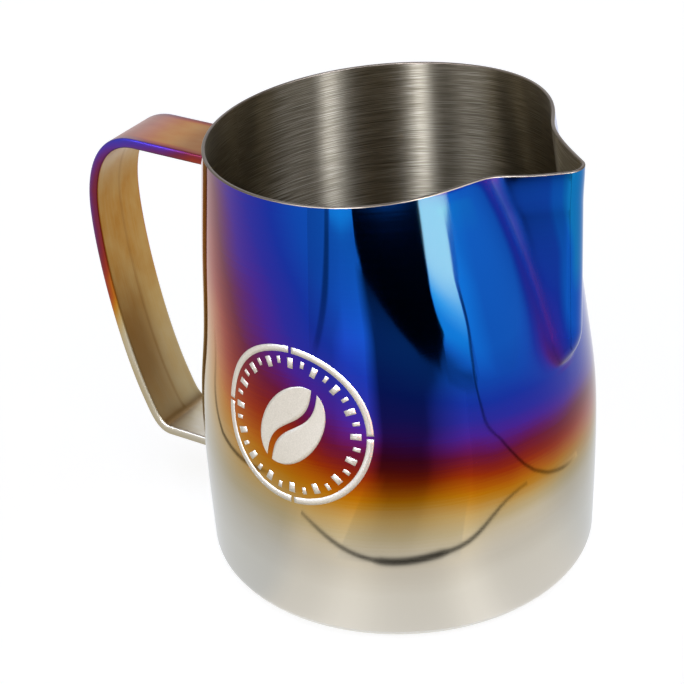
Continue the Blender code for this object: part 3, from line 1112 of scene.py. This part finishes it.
def make_light(name, azimuth, elevation, distance, width, height, power, lights_floor=False):
    """A rectangular lamp that points at the jug, placed by angles in degrees and a distance in metres."""
    light = bpy.data.lights.new(name, "AREA")
    light.shape = "RECTANGLE"
    light.size, light.size_y = width, height
    light.energy = power
    light.color = LAMP_COLOR
    obj = bpy.data.objects.new(name, light)
    obj.visible_diffuse = lights_floor
    turn, lift = math.radians(azimuth), math.radians(elevation)
    toward = Vector((math.cos(turn) * math.cos(lift), math.sin(turn) * math.cos(lift), math.sin(lift)))
    obj.location = toward * distance + LAMP_AIM
    obj.rotation_mode = "QUATERNION"
    obj.rotation_quaternion = toward.to_track_quat("Z", "Y")
    bpy.context.scene.collection.objects.link(obj)


def make_lights():
    """Two narrow soft boxes make the bright bands inside the jug. Only the top one also lights the floor."""
    make_light("softbox_right", -18.5, 37.0, 1.0, 0.115, 0.7, 13.5)
    make_light("softbox_left", -79.7, 37.0, 1.0, 0.115, 0.7, 15.5)
    make_light("fill_right", 13.0, 44.0, 1.0, 0.35, 0.5, 4.4)
    make_light("fill_left", -120.0, 44.0, 1.0, 0.35, 0.5, 6.5)
    make_light("softbox_back", 122.0, 36.0, 1.2, 1.2, 0.5, 1.9)
    make_light("softbox_top", 120.0, 78.0, 1.3, 1.2, 1.2, 2.0, lights_floor=True)


def make_world():
    """Soft light that is strong around the horizon and weak overhead, where a studio's ceiling is."""
    world = bpy.data.worlds.new("studio")
    world.use_nodes = True
    tree = world.node_tree
    place = tree.nodes.new("ShaderNodeTexCoord")
    parts = tree.nodes.new("ShaderNodeSeparateXYZ")
    fade = tree.nodes.new("ShaderNodeMapRange")
    tree.links.new(place.outputs["Generated"], parts.inputs[0])
    tree.links.new(parts.outputs["Z"], fade.inputs["Value"])
    fade.inputs["From Min"].default_value = 0.1
    fade.inputs["From Max"].default_value = 0.8
    fade.inputs["To Min"].default_value = 0.9
    fade.inputs["To Max"].default_value = 0.38
    background = tree.nodes["Background"]
    background.inputs["Color"].default_value = (0.97, 0.98, 1.0, 1.0)
    tree.links.new(fade.outputs["Result"], background.inputs["Strength"])
    bpy.context.scene.world = world


def make_camera():
    camera = bpy.data.cameras.new("camera")
    camera.lens = 110.04
    camera.sensor_width = 36.0
    camera.shift_x = 0.01041
    camera.shift_y = -0.00186
    camera.clip_start = 0.01
    obj = bpy.data.objects.new("camera", camera)
    obj.location = (0.22034, -0.34586, 0.28535)
    aim = Vector((-0.01209, -0.00691, 0.05158))
    look = (aim - obj.location).to_track_quat("-Z", "Y")
    roll = Quaternion((0, 0, 1), math.radians(-3.25))
    obj.rotation_mode = "QUATERNION"
    obj.rotation_quaternion = look @ roll
    bpy.context.scene.collection.objects.link(obj)
    bpy.context.scene.camera = obj


# ---------------------------------------------------------------- the scene

def place(piece, slot, node=None):
    """Puts a piece on the part's only body and in the stead of a CAD node. The slot is not used."""
    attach(piece, "root")
    if node:
        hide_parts(node)


make_camera()
place(make_jug(coated_material(), lip_material(), brushed_material()), "rainbow_steel", "jug_body")
place(make_handle(strip_material()), "gold_steel", "handle")
weld_metal = weld_material()
place(make_weld("upper_weld_bead", UPPER_LEG_Z, weld_metal), "weld_steel", "upper_weld")
place(make_weld("lower_weld_bead", LOWER_LEG_Z, weld_metal), "weld_steel", "lower_weld")
place(make_mark(mark_material()), "rainbow_steel")

make_floor()
make_ring_card()
make_reflector_cards()
make_dark_cards()
make_grey_card()
make_line_cards()
make_lights()
make_world()
bpy.context.scene.view_settings.view_transform = "Standard"
